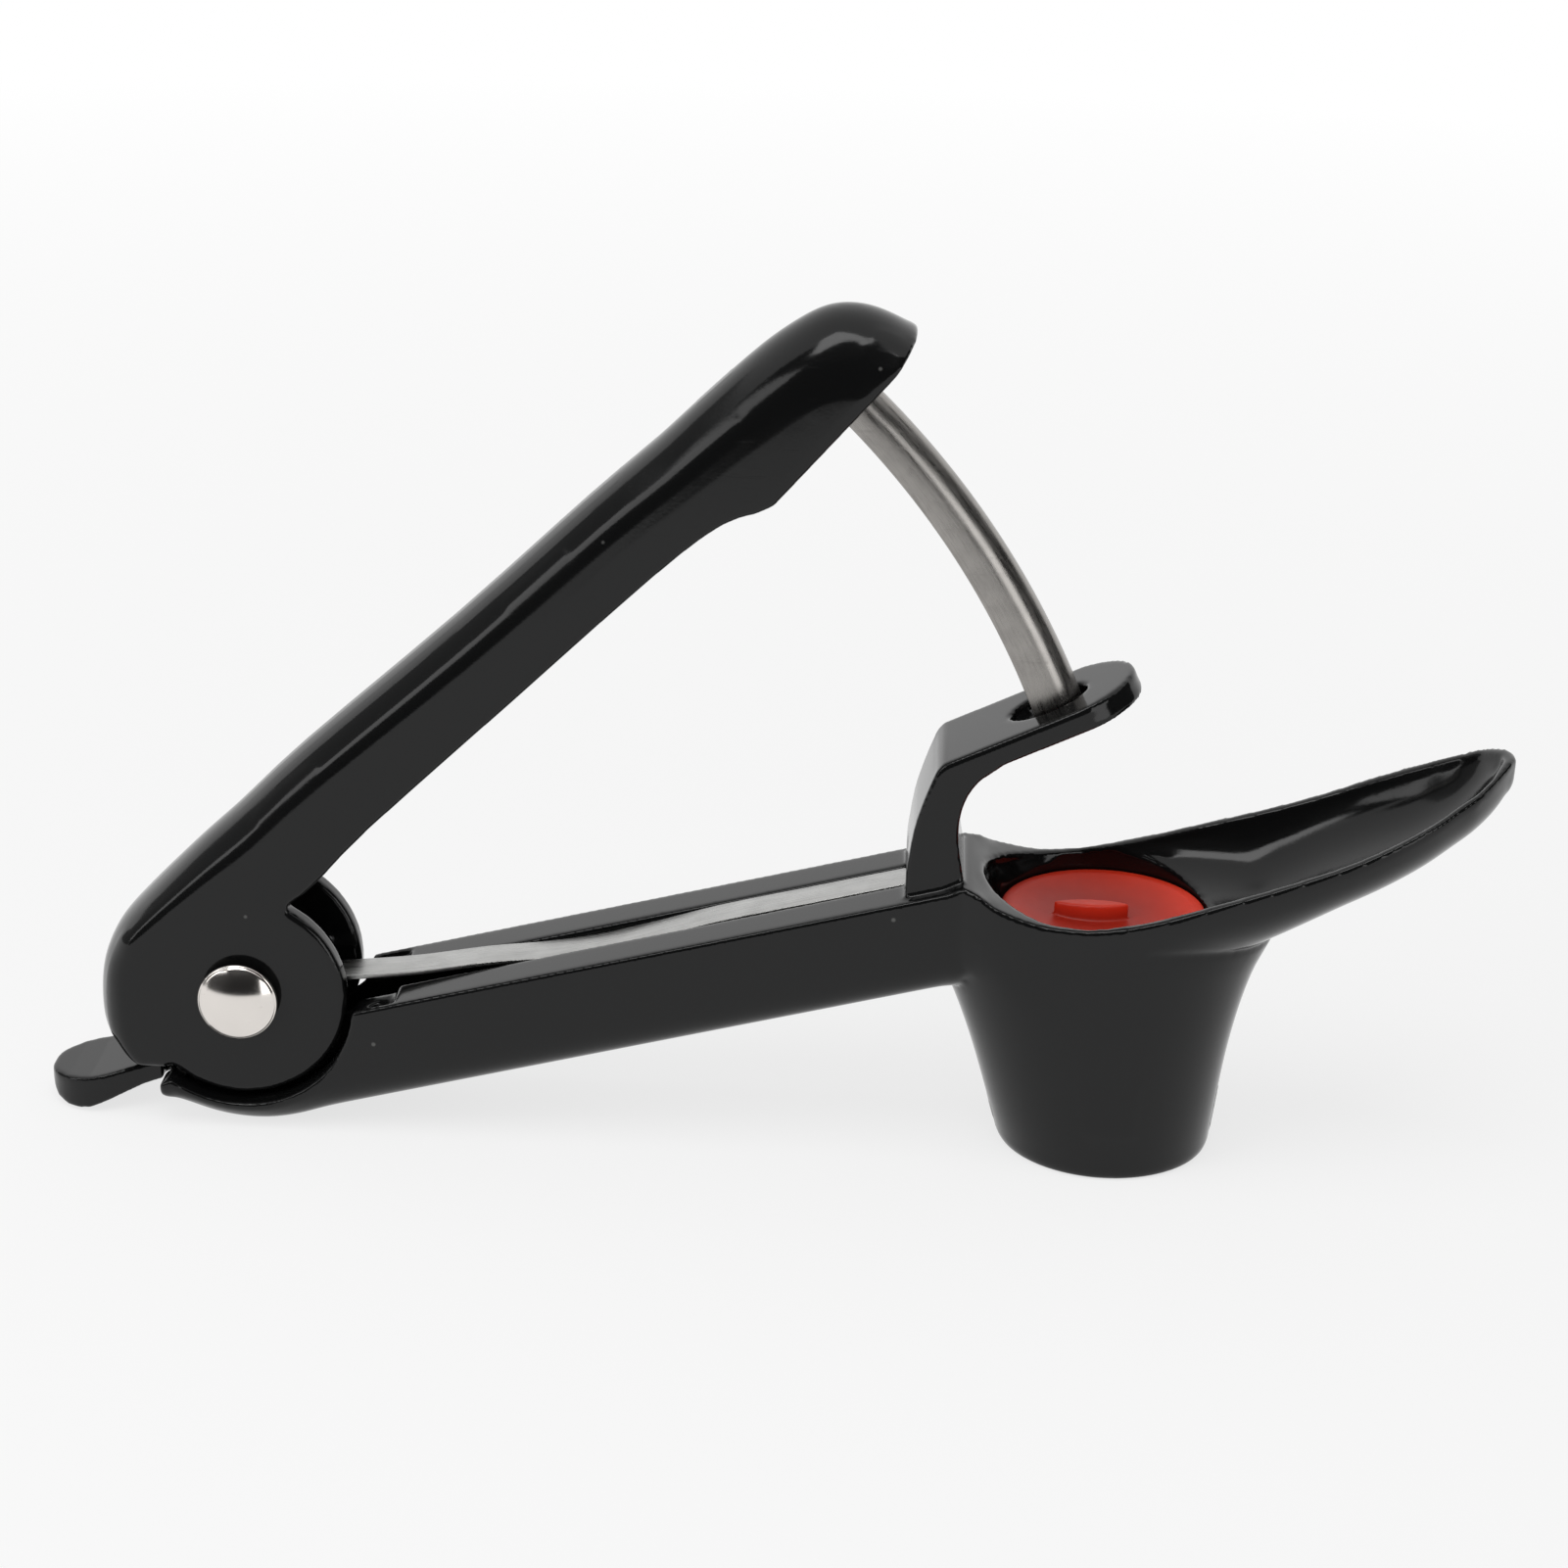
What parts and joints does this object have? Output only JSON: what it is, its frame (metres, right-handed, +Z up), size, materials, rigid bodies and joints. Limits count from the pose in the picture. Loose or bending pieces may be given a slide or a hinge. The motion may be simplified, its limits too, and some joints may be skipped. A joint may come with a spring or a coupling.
{
  "type": "cherry pitter",
  "caption": "Hand cherry pitter: a hinged lever drives a bent steel plunger through a guide plate into a soft slit seat, in a bowl with a pouring tip over an open drop tube.",
  "frame": {"origin": "bottom centre of the bounding box, with the hinge and the drop tube's foot standing on Z = 0", "axes": "+X runs along the handle from the hinge to the pouring tip, +Y across the tool, +Z up"},
  "size_m": [0.1748, 0.0282, 0.1026],
  "materials": {
    "black_plastic": "glossy moulded",
    "brushed_steel": "brushed",
    "polished_rivet": "polished",
    "red_silicone": "satin"
  },
  "bodies": {
    "body": {"lower_body": "black_plastic", "pivot_rivet": "polished_rivet", "latch_pin": "brushed_steel", "leaf_spring_main": "brushed_steel", "leaf_spring_helper": "brushed_steel", "cherry_seat": "red_silicone", "seat_lip_near": "red_silicone", "seat_lip_far": "red_silicone"},
    "lever": {"lever": "black_plastic", "plunger": "brushed_steel", "plunger_pin": "brushed_steel"},
    "latch": {"lock_latch": "black_plastic"}
  },
  "joints": [
    {"name": "lever_hinge", "type": "hinge", "parent": "body", "child": "lever", "pos_m": [-0.0626, 0, 0.0169], "axis": [0, 1, 0], "range_deg": [0, 23.4], "stiffness_Nm_per_rad": 0.27, "springref_deg": -17.19, "deforming": ["leaf_spring_main", "leaf_spring_helper", "seat_lip_near", "seat_lip_far"]},
    {"name": "latch_hinge", "type": "hinge", "parent": "body", "child": "latch", "pos_m": [-0.0702, 0, 0.0063], "axis": [0, -1, 0], "range_deg": [0, 15]}
  ]
}
